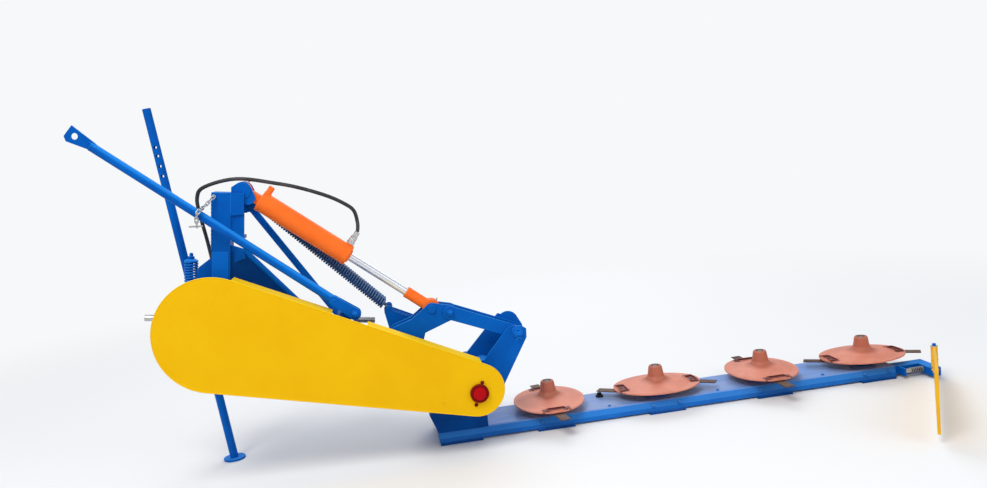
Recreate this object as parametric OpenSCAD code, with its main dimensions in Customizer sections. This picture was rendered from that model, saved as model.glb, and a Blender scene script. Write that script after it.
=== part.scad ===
// Rear mounted disc mower with a belt drive, a lift linkage and a parking stand.
// Millimetres. +X runs along the cutter bar, +Y is the way of travel, +Z is up.
// The floor is z = 0 and the first rotor turns about x = 0, y = 0.

/* [Cutter bar] */
// distance between two rotor shafts
rotor_pitch = 520; // [480:5:560]
// number of rotors
rotor_count = 4; // [4:1:4]
// height of the bar's flat top
bar_top = 54; // [46:1:62]
// rear edge of the bar's sole, behind the rotor shafts
bar_rear = 131; // [110:1:150]
// front edge of the bar's top, ahead of the rotor shafts
bar_front = 125; // [105:1:140]
// reach of the bar's square end past the last rotor
bar_end = 95; // [80:5:120]

/* [Rotors] */
// half of a disc's long axis
disc_long = 205; // [190:1:215]
// half of a disc's short axis
disc_short = 162; // [145:1:175]
// height of the rim's underside
disc_rim = 93; // [90:1:100]
// sheet thickness of the rim
disc_sheet = 6; // [4:1:8]
// height of the hub's top above the rim's underside
hub_rise = 94; // [80:1:105]
// distance of a knife's bolt from the rotor shaft
knife_bolt = 172; // [160:1:180]
// length of a knife from its bolt to its tip
knife_length = 116; // [90:1:120]
// width of a knife
knife_width = 44; // [30:1:50]

/* [Belt drive] */
// distance of the drive shaft from the first rotor, towards the hitch
drive_x = 1387; // [1340:1:1430]
// height of the drive shaft
drive_z = 656; // [630:1:680]
// distance of the fold axis from the first rotor, towards the hitch
fold_x = 353; // [340:1:370]
// height of the fold axis
fold_z = 284; // [274:1:294]
// radius of the big pulley
big_pulley_r = 200; // [180:1:210]
// radius of the small pulley
small_pulley_r = 82; // [76:1:88]
// radius of the cover's big end
cover_big_r = 233; // [225:1:240]
// radius of the cover's small end
cover_small_r = 112; // [106:1:118]
// sheet thickness of the cover
cover_sheet = 4; // [3:1:5]
// depth of the cover's rim
cover_rim = 12; // [8:1:30]

/* [Hitch] */
// lean of the parked hitch frame, in degrees
hitch_lean = 8; // [6:0.5:10]
// distance between the shoulders of the two lower pins
lower_span = 825; // [800:1:850]
// radius of a lower pin
lower_pin_r = 14; // [11:0.5:14]
// radius of the top link's hole
top_hole_r = 12.85; // [9.5:0.05:12.9]
// height of the mast above the drive shaft
mast_top = 565; // [540:5:590]
// width of the mast
mast_w = 75; // [65:1:85]

/* [Lift] */
// bore of the lift cylinder's barrel, measured outside
barrel_r = 43; // [38:1:46]
// radius of the piston rod
piston_r = 17; // [16:1:22]
// radius of the eye at the rod's end
eye_r = 38; // [36:1:40]
// outside radius of a balance spring
spring_r = 24; // [20:1:25]

/* [Stand and transport tube] */
// radius of the stand's tube
stand_r = 18; // [16:0.5:20]
// length of the stand
stand_length = 1605; // [1500:5:1700]
// lean of the stand, in degrees
stand_lean = 5.6; // [5:0.1:6]
// radius of the transport tube
stay_r = 18; // [16:0.5:20]
// radius of the hole in the transport tube's plate
stay_hole_r = 13; // [11:0.5:15]

/* [Divider board] */
// length of the board
board_length = 880; // [800:10:940]
// height of the board at its rear end
board_height = 250; // [200:5:280]
// angle of the board to the way of travel, in degrees
board_angle = 34; // [31:0.1:37]

/* [Hidden] */
$fn = 96;
eps = 0.05;
// running gap of a shaft in its bore
run = 0.05;
// gap beside an eye between two plates
side_gap = 1;
// the two main shafts, as x and z
drive = [-drive_x, drive_z];
fold = [-fold_x, fold_z];
belt_run = norm(fold - drive);
belt_slope = atan2(drive[1] - fold[1], fold[0] - drive[0]);
last_rotor = (rotor_count - 1) * rotor_pitch;
// layers across the machine, from the rear
cover_back = -330;
pulley_back = -300;
pulley_front = -235;
lip_front = -225;
mast_back = -213;
mast_front = -117;
plate_back = -198;
plate_front = -128;
plate_t = 10;
lift_mid = (plate_back + plate_front) / 2;
eye_w = plate_front - plate_back - 2 * plate_t - 2 * side_gap;
sleeve_r = eye_w / 2;
beam_back = -104;
beam_front = -20;
hitch_back = -8;
hitch_front = 72;
// drive and fold journals
hub_r = 70;
neck_r = 55;
shaft_r = 25;
input_r = 17.46;
ring_wall = 18;
beam_h = 100;
// lift linkage, as x and z
crank_pivot = [-625, 420];
link_pin = [-425, 600];
lever_pin = [-146, 480];
cap_shift = [5, -14];
eye_pin = [-501, 627];
elbow = [-570, 558];
shoulder = [-650, 532];
mast_pin = drive + [95.5 * cos(hitch_lean) + 575 * sin(hitch_lean), 575 * cos(hitch_lean)
    - 95.5 * sin(hitch_lean)];
pin_r = 15;
pivot_r = 22;
lever_pin_r = 12;
cylinder_run = norm(eye_pin - mast_pin);
cylinder_tilt = atan2(eye_pin[0] - mast_pin[0], eye_pin[1] - mast_pin[1]);
barrel_from = 76;
barrel_to = 505;
sleeve_from = 795;
spring_foot = [-679, 632];
spring_head = [-1164, 1144];
spring_ys = [-86, -34];
spring_wire = 5;
spring_turns = 46;
link_t = 8;
link_gap = 1;
link_back = plate_back - link_gap - link_t;
link_front = plate_front + link_gap;
lever_t = 8;
lever_back = link_back - link_gap - lever_t;
lever_front = link_front + link_t + link_gap;
// room round the lever's pin, where the closed linkage is opened
open_gap = 6;
// transport tube, as x and z
stay_pin = [-820, 662];
stay_eye = [-1800, 1492];
stay_y = -270;
fork_r = 25;
stay_run = norm(stay_eye - stay_pin);
stay_tilt = atan2(stay_eye[0] - stay_pin[0], stay_eye[1] - stay_pin[1]);
// stand, its foot on the floor
stand_foot = [-1452, 100];
// chain of the mast's locking pin
link_wire = 2.6;
chain_pitch = 18;
chain_links = 10;
chain_stops = [[-1322, -222, 1202], [-1362, -260, 1164], [-1369, -294, 1159], [-1385, -303, 1141],
    [-1388, -304, 1104]];
// divider board hinge
board_hinge = [last_rotor + 240, -208];
// hose from the barrel's port over the mast, then down behind it
hose_r = 8;
hose_sides = 8;
hose_steps = 5;
hose_route = [[-794, -163, 960], [-784, -163, 972], [-772, -164, 992], [-768, -165, 1030], [-778, -168,
    1080], [-815, -168, 1114], [-881, -168, 1153],
    [-982, -168, 1196], [-1077, -168, 1226], [-1233, -168, 1262], [-1365, -165, 1243], [-1404, -145,
        1200], [-1410, -100, 1120],
    [-1405, -60, 1020], [-1400, -40, 930]];

hose_path = concat(
    [for (i = [0 : len(hose_route) - 2]) for (t = [0 : 1 / hose_steps : 1 - eps]) hose_point(i, t)],
    [hose_route[len(hose_route) - 1]]
);

// a flat shape in the x-z plane, from y0 to y1
module plate(y0, y1) {
    translate([0, y1, 0]) rotate([90, 0, 0]) linear_extrude(y1 - y0) children();
}
// a round bar along y at p = [x, z]
module pin(p, y0, y1, r) {
    translate([p[0], y1, p[1]]) rotate([90, 0, 0]) cylinder(h = y1 - y0, r = r);
}
// a round bar between two points
module bar_between(a, b, r) {
    d = b - a;
    translate(a) rotate([0, acos(d[2] / norm(d)), atan2(d[1], d[0])]) cylinder(h = norm(d), r = r);
}
// a round bar between two x-z points at one y
module rod(a, b, y, r) {
    translate([a[0], y, a[1]]) rotate([0, atan2(b[0] - a[0], b[1] - a[1]), 0])
        cylinder(h = norm(b - a), r = r);
}
// a flat arm: two round ends and the two tangent lines between them, n steps round each end
module arm(a, ra, b, rb, n = 20) {
    t = atan2(b[1] - a[1], b[0] - a[0]);
    k = acos((ra - rb) / norm(b - a));
    polygon(concat(
        [for (i = [0 : n]) let (w = t + k + (360 - 2 * k) * i / n) a + ra * [cos(w), sin(w)]],
        [for (i = [0 : n]) let (w = t - k + 2 * k * i / n) b + rb * [cos(w), sin(w)]]
    ));
}
module at_hitch() {
    translate([drive[0], 0, drive[1]]) rotate([0, hitch_lean, 0]) children();
}
module at_subframe() {
    translate([drive[0], 0, drive[1]]) rotate([0, belt_slope, 0]) children();
}
module at_stand() {
    translate([stand_foot[0], stand_foot[1], 0]) rotate([0, -stand_lean, 0]) children();
}
module at_rotor(i) {
    translate([i * rotor_pitch, 0, 0]) rotate([0, 0, i % 2 == 0 ? 90 : 0]) children();
}

// Hitch frame, the part that stays with the lifting arms
lower_u = [-262, -262 + lower_span];
module hitch_frame() {
    color("royalblue") at_hitch() difference() {
        hitch_outline();
        translate([0, mast_back - 1, 0]) rotate([-90, 0, 0]) cylinder(h = hitch_front - mast_back + 2,
            r = shaft_r + run);
        translate([0, mast_back + 20, 0]) rotate([-90, 0, 0])
            cylinder(h = hitch_front - mast_back - 40, r = hub_r - 14);
        translate([lower_u[0] + 14, hitch_back + 8, -127]) cube([lower_span - 28,
            hitch_front - hitch_back - 16, 50]);
    }
}
module hitch_outline() {
    translate([lower_u[0], hitch_back, -135]) cube([lower_span, hitch_front - hitch_back, 75]);
    translate([0, mast_back, 0]) rotate([-90, 0, 0]) cylinder(h = hitch_front - mast_back, r = hub_r);
    for (u = [lower_u[0], lower_u[1] - 14]) translate([u, 0, 0]) lower_plate();
}
module lower_plate() {
    mid = (hitch_back + hitch_front) / 2;
    rotate([0, 90, 0]) linear_extrude(14) {
        translate([0, mid]) circle(r = 40);
        translate([0, mid - 40]) square([135, 80]);
    }
}
module hitch_pins() {
    mid = (hitch_back + hitch_front) / 2;
    color("silver") at_hitch() {
        translate([lower_u[0] - 82, mid, 0]) rotate([0, 90, 0]) cylinder(h = 82, r = lower_pin_r);
        translate([lower_u[1], mid, 0]) rotate([0, 90, 0]) cylinder(h = 82, r = lower_pin_r);
    }
}
mast_u = [-24, 51];
seat_v = 38;
plate_u = [51, 104];
module mast() {
    color("royalblue") at_hitch() difference() {
        mast_outline();
        hitch_outline();
        translate([mast_u[0] + 8, mast_back + 8, 90]) cube([mast_w - 16, mast_front - mast_back - 16,
            mast_top - 98]);
        plate(plate_back - side_gap, plate_front + side_gap) translate([95.5, 575]) circle(r = 46);
    }
}
module mast_outline() {
    translate([mast_u[0], mast_back, 40]) cube([mast_w, mast_front - mast_back, mast_top - 40]);
    for (y = [mast_back, mast_front - 10]) plate(y, y + 10) mast_cheek();
    plate(mast_back + 10, mast_front - 10) translate([0, 377]) square([plate_u[1], 13]);
    plate(mast_back + 10, mast_back + 20) translate([40, 377]) square([plate_u[1] - 40, 104]);
    for (u = [plate_u[1] - 78, plate_u[1] - 12]) translate([u, 0, 0]) top_link_plate();
}
// two tubes from the mast down to the end of the hitch beam
module mast_braces() {
    color("royalblue") at_hitch() difference() {
        union() {
            bar_between([plate_u[1] + 3, 15, mast_top - 79], [lower_u[1] - 18, 25, -52], 15);
            bar_between([plate_u[1] - 7, lift_mid - 2, 328], [lower_u[1] - 113, 50, -62], 13);
        }
        hitch_outline();
        mast_outline();
    }
}
module mast_cheek() {
    polygon([[0, 465], [plate_u[1], 480], [plate_u[1], mast_top], [0, mast_top]]);
}
module top_link_plate() {
    translate([0, 0, mast_top - 40]) rotate([90, 0, 90]) linear_extrude(12) difference() {
        union() {
            translate([mast_front - 5, -45]) square([120 + 5, 80]);
            translate([mast_front + 120, -5]) circle(r = 40);
        }
        translate([mast_front + 130, -5]) circle(r = top_hole_r);
    }
}
module cylinder_clevis() {
    color("royalblue") {
        at_hitch() {
            plate(plate_back, plate_back + plate_t) clevis_shape();
            plate(plate_front - plate_t, plate_front) clevis_shape();
        }
        pin(mast_pin, mast_back + 11, mast_front - 11, pin_r);
        pin(mast_pin, mast_back + 11, plate_back, 32);
    }
}
module clevis_shape() {
    difference() {
        union() {
            arm([95.5, 575], 36, [60, 545], 40);
            arm([95.5, 575], 36, [118, 546], 28);
        }
        translate([mast_u[1] - 80, 400]) square([80, 300]);
    }
}

module stand_socket() {
    color("royalblue") at_stand() {
        difference() {
            translate([0, 0, 520]) cylinder(h = 150, r = stand_r + 10);
            translate([0, 0, 519]) cylinder(h = 152, r = stand_r + run);
        }
    }
}
module relief_spring() {
    color("royalblue") at_hitch() translate([-150, 30, 0]) {
        translate([0, 0, -60]) cylinder(h = seat_v + 60, r = 8);
        translate([0, 0, seat_v + 12]) cylinder(h = 288 - seat_v - 12, r = 8);
        translate([0, 0, seat_v + 12]) cylinder(h = 8, r = 30);
        translate([0, 0, 250]) cylinder(h = 10, r1 = 30, r2 = 20);
        translate([0, 0, 260]) cylinder(h = 12, r = 14, $fn = 6);
        coil(26, 4, seat_v + 18, 252, 17, 10, 4);
    }
}
module relief_bracket() {
    color("royalblue") at_hitch() {
        plate(-171, -159) polygon([[mast_u[0], 300], [-81, 253], [-88, 225], [-110, seat_v + 12], [-72,
            seat_v + 12], [mast_u[0], 90]]);
        translate([0, 0, seat_v]) linear_extrude(12)
            polygon([[-182, -171], [-66, -171], [-66, -118], [-118, -118], [-118, 62], [-182, 62]]);
    }
}
module stand() {
    color("royalblue") at_stand() difference() {
        union() {
            cylinder(h = stand_length, r = stand_r);
            rotate([0, stand_lean, 0]) translate([0, 0, 0]) cylinder(h = 8, r = 48);
        }
        translate([0, 0, 20]) cylinder(h = stand_length, r = stand_r - 4);
        for (h = [1309, 1353, 1398, 1436])
            translate([0, 0, h]) rotate([90, 0, 0]) cylinder(h = 60, r = 7, center = true);
    }
}
// Belt drive
module groove_profile(r, depth, count) {
    w = (pulley_front - pulley_back) / count;
    polygon(concat(
        [[shaft_r - 6, 0]],
        [for (i = [0 : count - 1]) each [[r, i * w + 1], [r - depth, i * w + 5], [r - depth,
            i * w + w - 5], [r, i * w + w - 1]]],
        [[shaft_r - 6, count * w]]
    ));
}
module drive_pulley() {
    color("dimgray") {
        translate([drive[0], pulley_front, drive[1]]) rotate([90, 0, 0]) difference() {
            rotate_extrude() groove_profile(big_pulley_r, 11, 4);
            translate([0, 0, -1]) rotate_extrude() translate([60, 0]) square([110, 24]);
            translate([0, 0, 42]) rotate_extrude() translate([60, 0]) square([110, 24]);
        }
        pin(drive, pulley_back - 12, hitch_front + 20, shaft_r);
        pin(drive, hitch_front + 20, hitch_front + 110, input_r);
    }
}
module driven_pulley() {
    color("dimgray") {
        translate([fold[0], pulley_front, fold[1]]) rotate([90, 0, 0]) rotate_extrude()
            groove_profile(small_pulley_r, 11, 4);
        pin(fold, pulley_back - 12, -30, shaft_r);
    }
}
module belts() {
    w = (pulley_front - pulley_back) / 4;
    color("black") for (i = [0 : 3]) plate(pulley_back + i * w + 5.5, pulley_back + i * w + w - 5.5)
        difference() {
        arm(drive, big_pulley_r + 1, fold, small_pulley_r + 1, 48);
        arm(drive, big_pulley_r - 10.5, fold, small_pulley_r - 10.5, 48);
    }
}
module subframe_beam() {
    color("navy") {
        at_subframe() difference() {
            union() {
                translate([0, beam_back, -beam_h / 2]) cube([belt_run, beam_front - beam_back, beam_h]);
                pin([0, 0], beam_back, beam_front, hub_r + ring_wall);
                pin([belt_run, 0], beam_back, beam_front, neck_r + ring_wall);
            }
            pin([0, 0], beam_back - 1, beam_front + 1, hub_r + run);
            pin([belt_run, 0], beam_back - 1, beam_front + 1, neck_r + run);
            translate([hub_r + 30, beam_back + 8, -beam_h / 2 + 8])
                cube([belt_run - hub_r - neck_r - 60, beam_front - beam_back - 16, beam_h - 16]);
        }
    }
}
module crank_post() {
    color("navy") {
        pin(crank_pivot, plate_back - 10, beam_back, pivot_r);
        plate(beam_back - 12, beam_back) arm(crank_pivot, 42, crank_pivot + [-30, -60], 40);
    }
}
module spring_post() {
    color("royalblue") {
        for (y = [beam_back, -64, -10 - 6]) plate(y, y + 6) gusset_shape();
        pin(spring_foot, beam_back, beam_front + 4, 9);
    }
}
module gusset_shape() {
    difference() {
        union() {
            translate(spring_foot) circle(r = 15);
            polygon([[-702, 622], [-690, 636], [-552, 566], [-560, 460], [-672, 450]]);
        }
        translate([drive[0], drive[1]]) rotate(-belt_slope) translate([0, -beam_h])
            square([belt_run, beam_h * 1.5]);
    }
}
// height of the subframe beam's top edge at a given x
function beam_top(x) = drive[1] - (x - drive[0]) * tan(belt_slope) + beam_h / 2 / cos(belt_slope);
module balance_springs() {
    reach = norm(spring_foot - spring_head);
    color("midnightblue") for (y = spring_ys) translate([spring_head[0], y, spring_head[1]])
        rotate([0, atan2(spring_foot[0] - spring_head[0], spring_foot[1] - spring_head[1]), 0]) {
            coil(spring_r - spring_wire, spring_wire, 52, reach - 28, spring_turns, 8, 4);
            for (z = [[10, 50], [reach - 36, 26]]) translate([0, 0, z[0]])
                cylinder(h = z[1], r = spring_wire);
            for (z = [48, reach - 36]) translate([0, 0, z]) cylinder(h = 12, r = spring_r - 2);
        }
}
// a coil round the z axis, from height z0 to z1
module coil(r, wire, z0, z1, turns, steps, sides) {
    tube_along([for (i = [0 : turns * steps]) [r * cos(i * 360 / steps), r * sin(i * 360 / steps),
        z0 + (z1 - z0) * i / (turns * steps)]], wire, sides);
}
module spring_hanger() {
    color("royalblue") {
        pin(spring_head, mast_front + 6, -2, 10);
        at_hitch() for (y = [mast_front + 6, -10]) plate(y, y + 8) difference() {
            arm([100, 515], 34, [149.5, 510], 24);
            translate([0, 400]) square([plate_u[1], 200]);
        }
    }
}
module belt_cover() {
    lips = [[-1288, -911], [-774, -323]];
    color("gold") {
        plate(cover_back, cover_back + cover_sheet) cover_shape(0);
        plate(cover_back, cover_back + cover_rim) difference() {
            cover_shape(0);
            cover_shape(cover_sheet);
        }
        for (lip = lips) intersection() {
            plate(cover_back, lip_front) difference() {
                cover_shape(0);
                cover_shape(cover_sheet);
            }
            translate([lip[0], cover_back - 1, (lip[1] > -400) ? 300 : 600])
                cube([lip[1] - lip[0], lip_front - cover_back + 2, 400]);
        }
    }
}
module cover_shape(inset) {
    arm(drive, cover_big_r - inset, fold, cover_small_r - inset, 60);
}
module cover_stays() {
    color("navy") for (x = [390, 570]) at_subframe() {
        pin([x, 0], cover_back + cover_sheet, beam_back, 14);
    }
}
module cover_cap() {
    color("crimson") pin(fold + cap_shift, cover_back - 20, cover_back, 39);
}
module stay_lug() {
    color("navy") difference() {
        union() {
            plate(stay_y - 9, stay_y + 9) arm(stay_pin, 20, [-868, 657], 18);
            translate([-896, stay_y - 9, 646]) cube([28, beam_back - stay_y + 9, 10]);
            translate([-896, beam_back - 12, 490]) cube([40, 12, 166]);
        }
        pin(stay_pin, stay_y - 40, stay_y + 40, 10);
    }
}
module transport_tube() {
    color("royalblue") translate([stay_pin[0], stay_y, stay_pin[1]]) rotate([0, stay_tilt, 0])
        difference() {
        union() {
            translate([0, 0, 78]) cylinder(h = stay_run - 148, r = stay_r);
            for (y = [-18, 10]) plate(y, y + 8) arm([0, 0], fork_r, [0, 104], stay_r);
            translate([-stay_r, -12, 78]) cube([2 * stay_r, 24, 26]);
            plate(-5, 5) translate([0, stay_run]) polygon([[30, 31], [-21, 33], [-34, 16], [-15, -68],
                [-15, -100], [15, -100], [20, -74]]);
        }
        rotate([90, 0, 0]) cylinder(h = 60, r = 10 + run, center = true);
        translate([0, 0, stay_run]) rotate([90, 0, 0]) cylinder(h = 60, r = stay_hole_r, center = true);
    }
}
module stay_bolt() {
    color("silver") pin(stay_pin, stay_y - 32, stay_y + 32, 10);
}
// chain from a bolt on the mast, over the tube, to the pin that hangs on it
module chain() {
    color("silver") {
        at_hitch() pin([-12, 550], mast_back - 16, mast_back, link_wire + 0.6);
        for (i = [0 : chain_links - 1]) at_link(i) chain_link(i % 2 * 90);
        at_link(chain_links - 1) translate([-30, 0, 6.2]) rotate([0, 90, 0])
            cylinder(h = 52, r = link_wire + 0.6);
    }
}
// the middle of link i, with z along the chain
module at_link(i) {
    from = along(chain_stops, 6.4 + (i - 0.5) * chain_pitch);
    to = along(chain_stops, 6.4 + (i + 0.5) * chain_pitch);
    d = to - from;
    translate((from + to) / 2) rotate([0, acos(d[2] / norm(d)), atan2(d[1], d[0])]) children();
}
// one oval link standing on end, turned about z
module chain_link(turn) {
    rotate([0, 0, turn]) for (s = [0, 180]) rotate([0, s, 0]) {
        translate([6, 0, -6]) cylinder(h = 12, r = link_wire);
        translate([0, 0, 6]) rotate([90, 0, 0]) rotate_extrude(angle = 180) translate([6, 0])
            circle(r = link_wire);
    }
}
// the point at a distance along a path of straight stretches
function along(path, s, i = 0) = let (d = norm(path[i + 1] - path[i]))
    s <= d || i == len(path) - 2 ? path[i] + (path[i + 1] - path[i]) * s / d : along(path, s - d, i + 1);
// Lift linkage
module crank() {
    color("royalblue") difference() {
        union() {
            for (y = [plate_back, plate_front - plate_t]) plate(y, y + plate_t) crank_shape();
            pin(crank_pivot, plate_back, plate_front, pivot_r + 16);
            pin(eye_pin, plate_back - 10, plate_back, 17);
            pin(eye_pin, plate_front, plate_front + 8, 17);
        }
        pin(crank_pivot, plate_back - 1, plate_front + 1, pivot_r + run);
    }
}
// a bent plate: pivot, shoulder and elbow, then the two eyes
module crank_shape() {
    arm(eye_pin, 24, link_pin, 32);
    arm(elbow, 40, eye_pin, 24);
    arm(elbow, 40, link_pin, 32);
    polygon([elbow, eye_pin, link_pin]);
    arm(elbow, 39, shoulder, 40);
    arm(shoulder, 40, crank_pivot, 46);
    arm(elbow, 40, crank_pivot, 46);
    polygon([elbow, shoulder, crank_pivot]);
}
module crank_pin() {
    color("silver") {
        pin(link_pin, link_back - 6, plate_back, pin_r);
        pin(link_pin, plate_front, link_front + link_t + 4, pin_r);
    }
}
module pull_link() {
    color("royalblue") difference() {
        for (y = [link_back, link_front]) plate(y, y + link_t) arm(link_pin, 29, lever_pin, 27);
        pin(link_pin, link_back - 1, link_front + link_t + 1, pin_r + run);
        pin(lever_pin, link_back - 1, link_front + link_t + 1, lever_pin_r + open_gap);
    }
}
// two unlike plates on the fold journal, a block between them and the pin across their top
module lever() {
    color("royalblue") difference() {
        union() {
            plate(lever_back, lever_back + lever_t) near_plate();
            plate(lever_front, lever_front + lever_t) far_plate();
            plate(lever_back, lever_front + lever_t) arm(fold, neck_r + 11, fold + [50, 60], 34);
            pin(lever_pin, lever_back - 6, lever_front + lever_t + 6, lever_pin_r);
            pin(lever_pin, lever_back - 4, lever_back, 24);
        }
        pin(fold, lever_back - 1, lever_front + lever_t + 1, neck_r);
    }
}
module near_plate() {
    translate(fold) circle(r = neck_r + 14);
    polygon([fold + [-17, 17], lever_pin + [-36, 32], lever_pin + [20, 27], lever_pin + [40, 12],
        lever_pin + [38, -26],
        fold + [126, -27], fold + [66, -58]]);
}
module far_plate() {
    translate(fold) circle(r = neck_r + 14);
    arm(lever_pin + [-23, 32], 46, lever_pin, 40);
    polygon([fold + [-64, 61], lever_pin + [-66, 74], lever_pin + [-22, 60], lever_pin + [38, -26],
        fold + [126, -27], fold + [66, -58], fold + [-50, -30]]);
}
module lift_barrel() {
    color("coral") translate([mast_pin[0], lift_mid, mast_pin[1]]) rotate([0, cylinder_tilt, 0])
        difference() {
        union() {
            translate([0, 0, barrel_from]) cylinder(h = barrel_to - barrel_from, r = barrel_r);
            rotate([90, 0, 0]) translate([0, 0, -eye_w / 2]) cylinder(h = eye_w, r = 34);
            translate([-20, -eye_w / 2, 0]) cube([40, eye_w, barrel_from + 5]);
            translate([0, 0, 90]) rotate([0, -90, 0]) cylinder(h = 66, r = 13);
            translate([0, 0, barrel_to - 22]) rotate([0, -90, 0]) cylinder(h = 70.3, r = 14);
        }
        rotate([90, 0, 0]) cylinder(h = eye_w + 2, r = pin_r + run, center = true);
        translate([0, 0, barrel_from + 20]) cylinder(h = barrel_to - barrel_from - 50, r = barrel_r - 7);
        translate([0, 0, barrel_to - 40]) cylinder(h = 50, r = piston_r + run);
    }
}
module lift_rod() {
    color("silver") translate([mast_pin[0], lift_mid, mast_pin[1]]) rotate([0, cylinder_tilt, 0]) {
        translate([0, 0, 290]) cylinder(h = sleeve_from - 290, r = piston_r);
        translate([0, 0, 290]) cylinder(h = 30, r = barrel_r - 7.5);
    }
}
module rod_eye() {
    color("coral") translate([mast_pin[0], lift_mid, mast_pin[1]]) rotate([0, cylinder_tilt, 0]) {
        translate([0, 0, sleeve_from]) cylinder(h = cylinder_run - sleeve_from - 30, r = sleeve_r);
        difference() {
            rotate([90, 0, 0]) translate([0, cylinder_run, -eye_w / 2]) cylinder(h = eye_w, r = eye_r);
            rotate([90, 0, 0]) translate([0, cylinder_run, -eye_w]) cylinder(h = 2 * eye_w, r = pin_r);
        }
    }
}
// Cutter bar
module bar_beam() {
    start = -528;
    end = last_rotor + bar_end;
    section = [[-bar_rear, 8], [-bar_rear + 4, 26], [-bar_rear + 14, bar_top - 4], [-bar_rear + 20,
        bar_top], [bar_front, bar_top], [bar_front + 12, 40], [bar_front + 6, 8]];
    color("royalblue") {
        translate([start, 0, 0]) rotate([90, 0, 90]) linear_extrude(end - start) polygon(section);
        for (i = [0 : rotor_count - 1]) translate([i * rotor_pitch, 0, bar_top]) cylinder(h = 26, r = 62);
    }
}
module gearbox() {
    color("navy") {
        plate(-128, 122) polygon([[-528, bar_top], [-305, bar_top], [-305, 148], [-420, 196],
            [-505, 186], [-560, 140]]);
        plate(-14, 115) arm(fold, 62, [-380, 150], 62);
        difference() {
            pin(fold, lever_back - 2, 20, neck_r);
            pin(fold, lever_back - 3, -29, shaft_r + run);
        }
    }
}
module skids() {
    color("navy") {
        for (i = [0 : rotor_count - 1]) translate([i * rotor_pitch - 85, 0, 0]) rotate([90, 0, 90])
            linear_extrude(170) sole_shape();
        translate([-525, 0, 0]) rotate([90, 0, 90]) linear_extrude(190) sole_shape();
    }
}
// a sole's section: flat under the bar, turned up in front
module sole_shape() {
    polygon([[-bar_rear - 14, 0], [150, 0], [182, 16], [196, 40], [190, 43], [176, 22], [146, 8],
        [-bar_rear - 14, 8]]);
}
module filler_plug() {
    color("silver") translate([255, 60, bar_top]) {
        cylinder(h = 8, r = 18);
        cylinder(h = 20, r = 11, $fn = 6);
    }
}
module disc(i) {
    color("lightsalmon") at_rotor(i) difference() {
        union() {
            translate([0, 0, disc_rim]) linear_extrude(disc_sheet) disc_shape(0);
            translate([0, 0, disc_rim]) rotate_extrude() polygon([[0, 0], [150, 0], [150, disc_sheet],
                [64, 26], [52, 30], [38, 46], [31, hub_rise - 6], [27, hub_rise], [0, hub_rise]]);
            translate([0, 0, bar_top + 26.5]) cylinder(h = 20, r = 45);
            for (s = [0, 180]) rotate([0, 0, s]) translate([0, 0, disc_rim])
                linear_extrude(disc_sheet + 4) pocket_shape(7);
        }
        for (s = [0, 180]) rotate([0, 0, s]) translate([0, 0, disc_rim + 4]) linear_extrude(20)
            pocket_shape(0);
        translate([0, 0, disc_rim + hub_rise - 9]) cylinder(h = 10, r = 19);
    }
    color("gray") at_rotor(i) translate([0, 0, disc_rim + hub_rise - 9]) cylinder(h = 8, r = 13, $fn = 6);
}
// the knife's pocket: a short curved slot near the end of the long axis
module pocket_shape(grow) {
    inner = knife_bolt - 20 - grow;
    outer = knife_bolt + 16 + grow;
    half = 13 + grow / 3;
    polygon(concat(
        [for (w = [-half : half / 6 : half + eps]) outer * [cos(w), sin(w)]],
        [for (w = [half : -half / 6 : -half - eps]) inner * [cos(w), sin(w)]]
    ));
}
module disc_shape(inset) {
    n = 72;
    polygon([for (i = [0 : n - 1]) [(disc_long - inset) * cos(i * 360 / n), (disc_short - inset)
        * sin(i * 360 / n)]]);
}
module knives(i) {
    swing = [8, -34, 2, -30];
    color("gray") at_rotor(i) for (s = [0, 180]) rotate([0, 0, s]) translate([knife_bolt, 0, 0])
        rotate([0, 0, swing[i]]) {
        translate([0, 0, disc_rim - 9]) linear_extrude(4) {
            circle(r = knife_width / 2);
            translate([0, -knife_width / 2]) square([knife_length, knife_width]);
        }
        translate([0, 0, disc_rim - 14]) cylinder(h = 14, r = 11);
    }
}
module rotor_1() { disc(0); }
module rotor_2() { disc(1); }
module rotor_3() { disc(2); }
module rotor_4() { disc(3); }
module knives_1() { knives(0); }
module knives_2() { knives(1); }
module knives_3() { knives(2); }
module knives_4() { knives(3); }
spring_x = [last_rotor + bar_end + 24, board_hinge[0] - 25];
module outer_arm() {
    end = last_rotor + bar_end;
    color("royalblue") {
        translate([end, -120, 14]) cube([board_hinge[0] - end, 60, 36]);
        translate([board_hinge[0] - 25, board_hinge[1], 14]) cube([50, -60 - board_hinge[1], 36]);
        translate([spring_x[0] - 8, -172, 14]) cube([8, 52, 36]);
        translate([board_hinge[0], board_hinge[1], 14]) cylinder(h = 36, r = 25);
        translate([board_hinge[0], board_hinge[1], 14]) cylinder(h = 150, r = 8);
    }
}
module board_spring() {
    reach = spring_x[1] - spring_x[0];
    color("dimgray") translate([spring_x[0], -152, 32]) rotate([0, 90, 0]) {
        coil(12, 3, 3, reach - 3, 8, 10, 4);
        for (z = [0, reach - 5]) translate([0, 0, z]) cylinder(h = 5, r = 13);
        cylinder(h = reach, r = 6);
    }
}
module board_shape() {
    polygon([[0, 54], [36, 54], [70, 42], [board_length, 42], [board_length, 42 + board_height],
        [board_length - 30, 52 + board_height], [0, 150]]);
}
module divider_board() {
    color("gold") translate([board_hinge[0], board_hinge[1], 0]) rotate([0, 0, -90 - board_angle])
        difference() {
        union() {
            plate(-6, 6) board_shape();
            translate([0, 0, 52]) cylinder(h = 98, r = 15);
        }
        translate([0, 0, 51]) cylinder(h = 120, r = 8 + run);
    }
}
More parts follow.
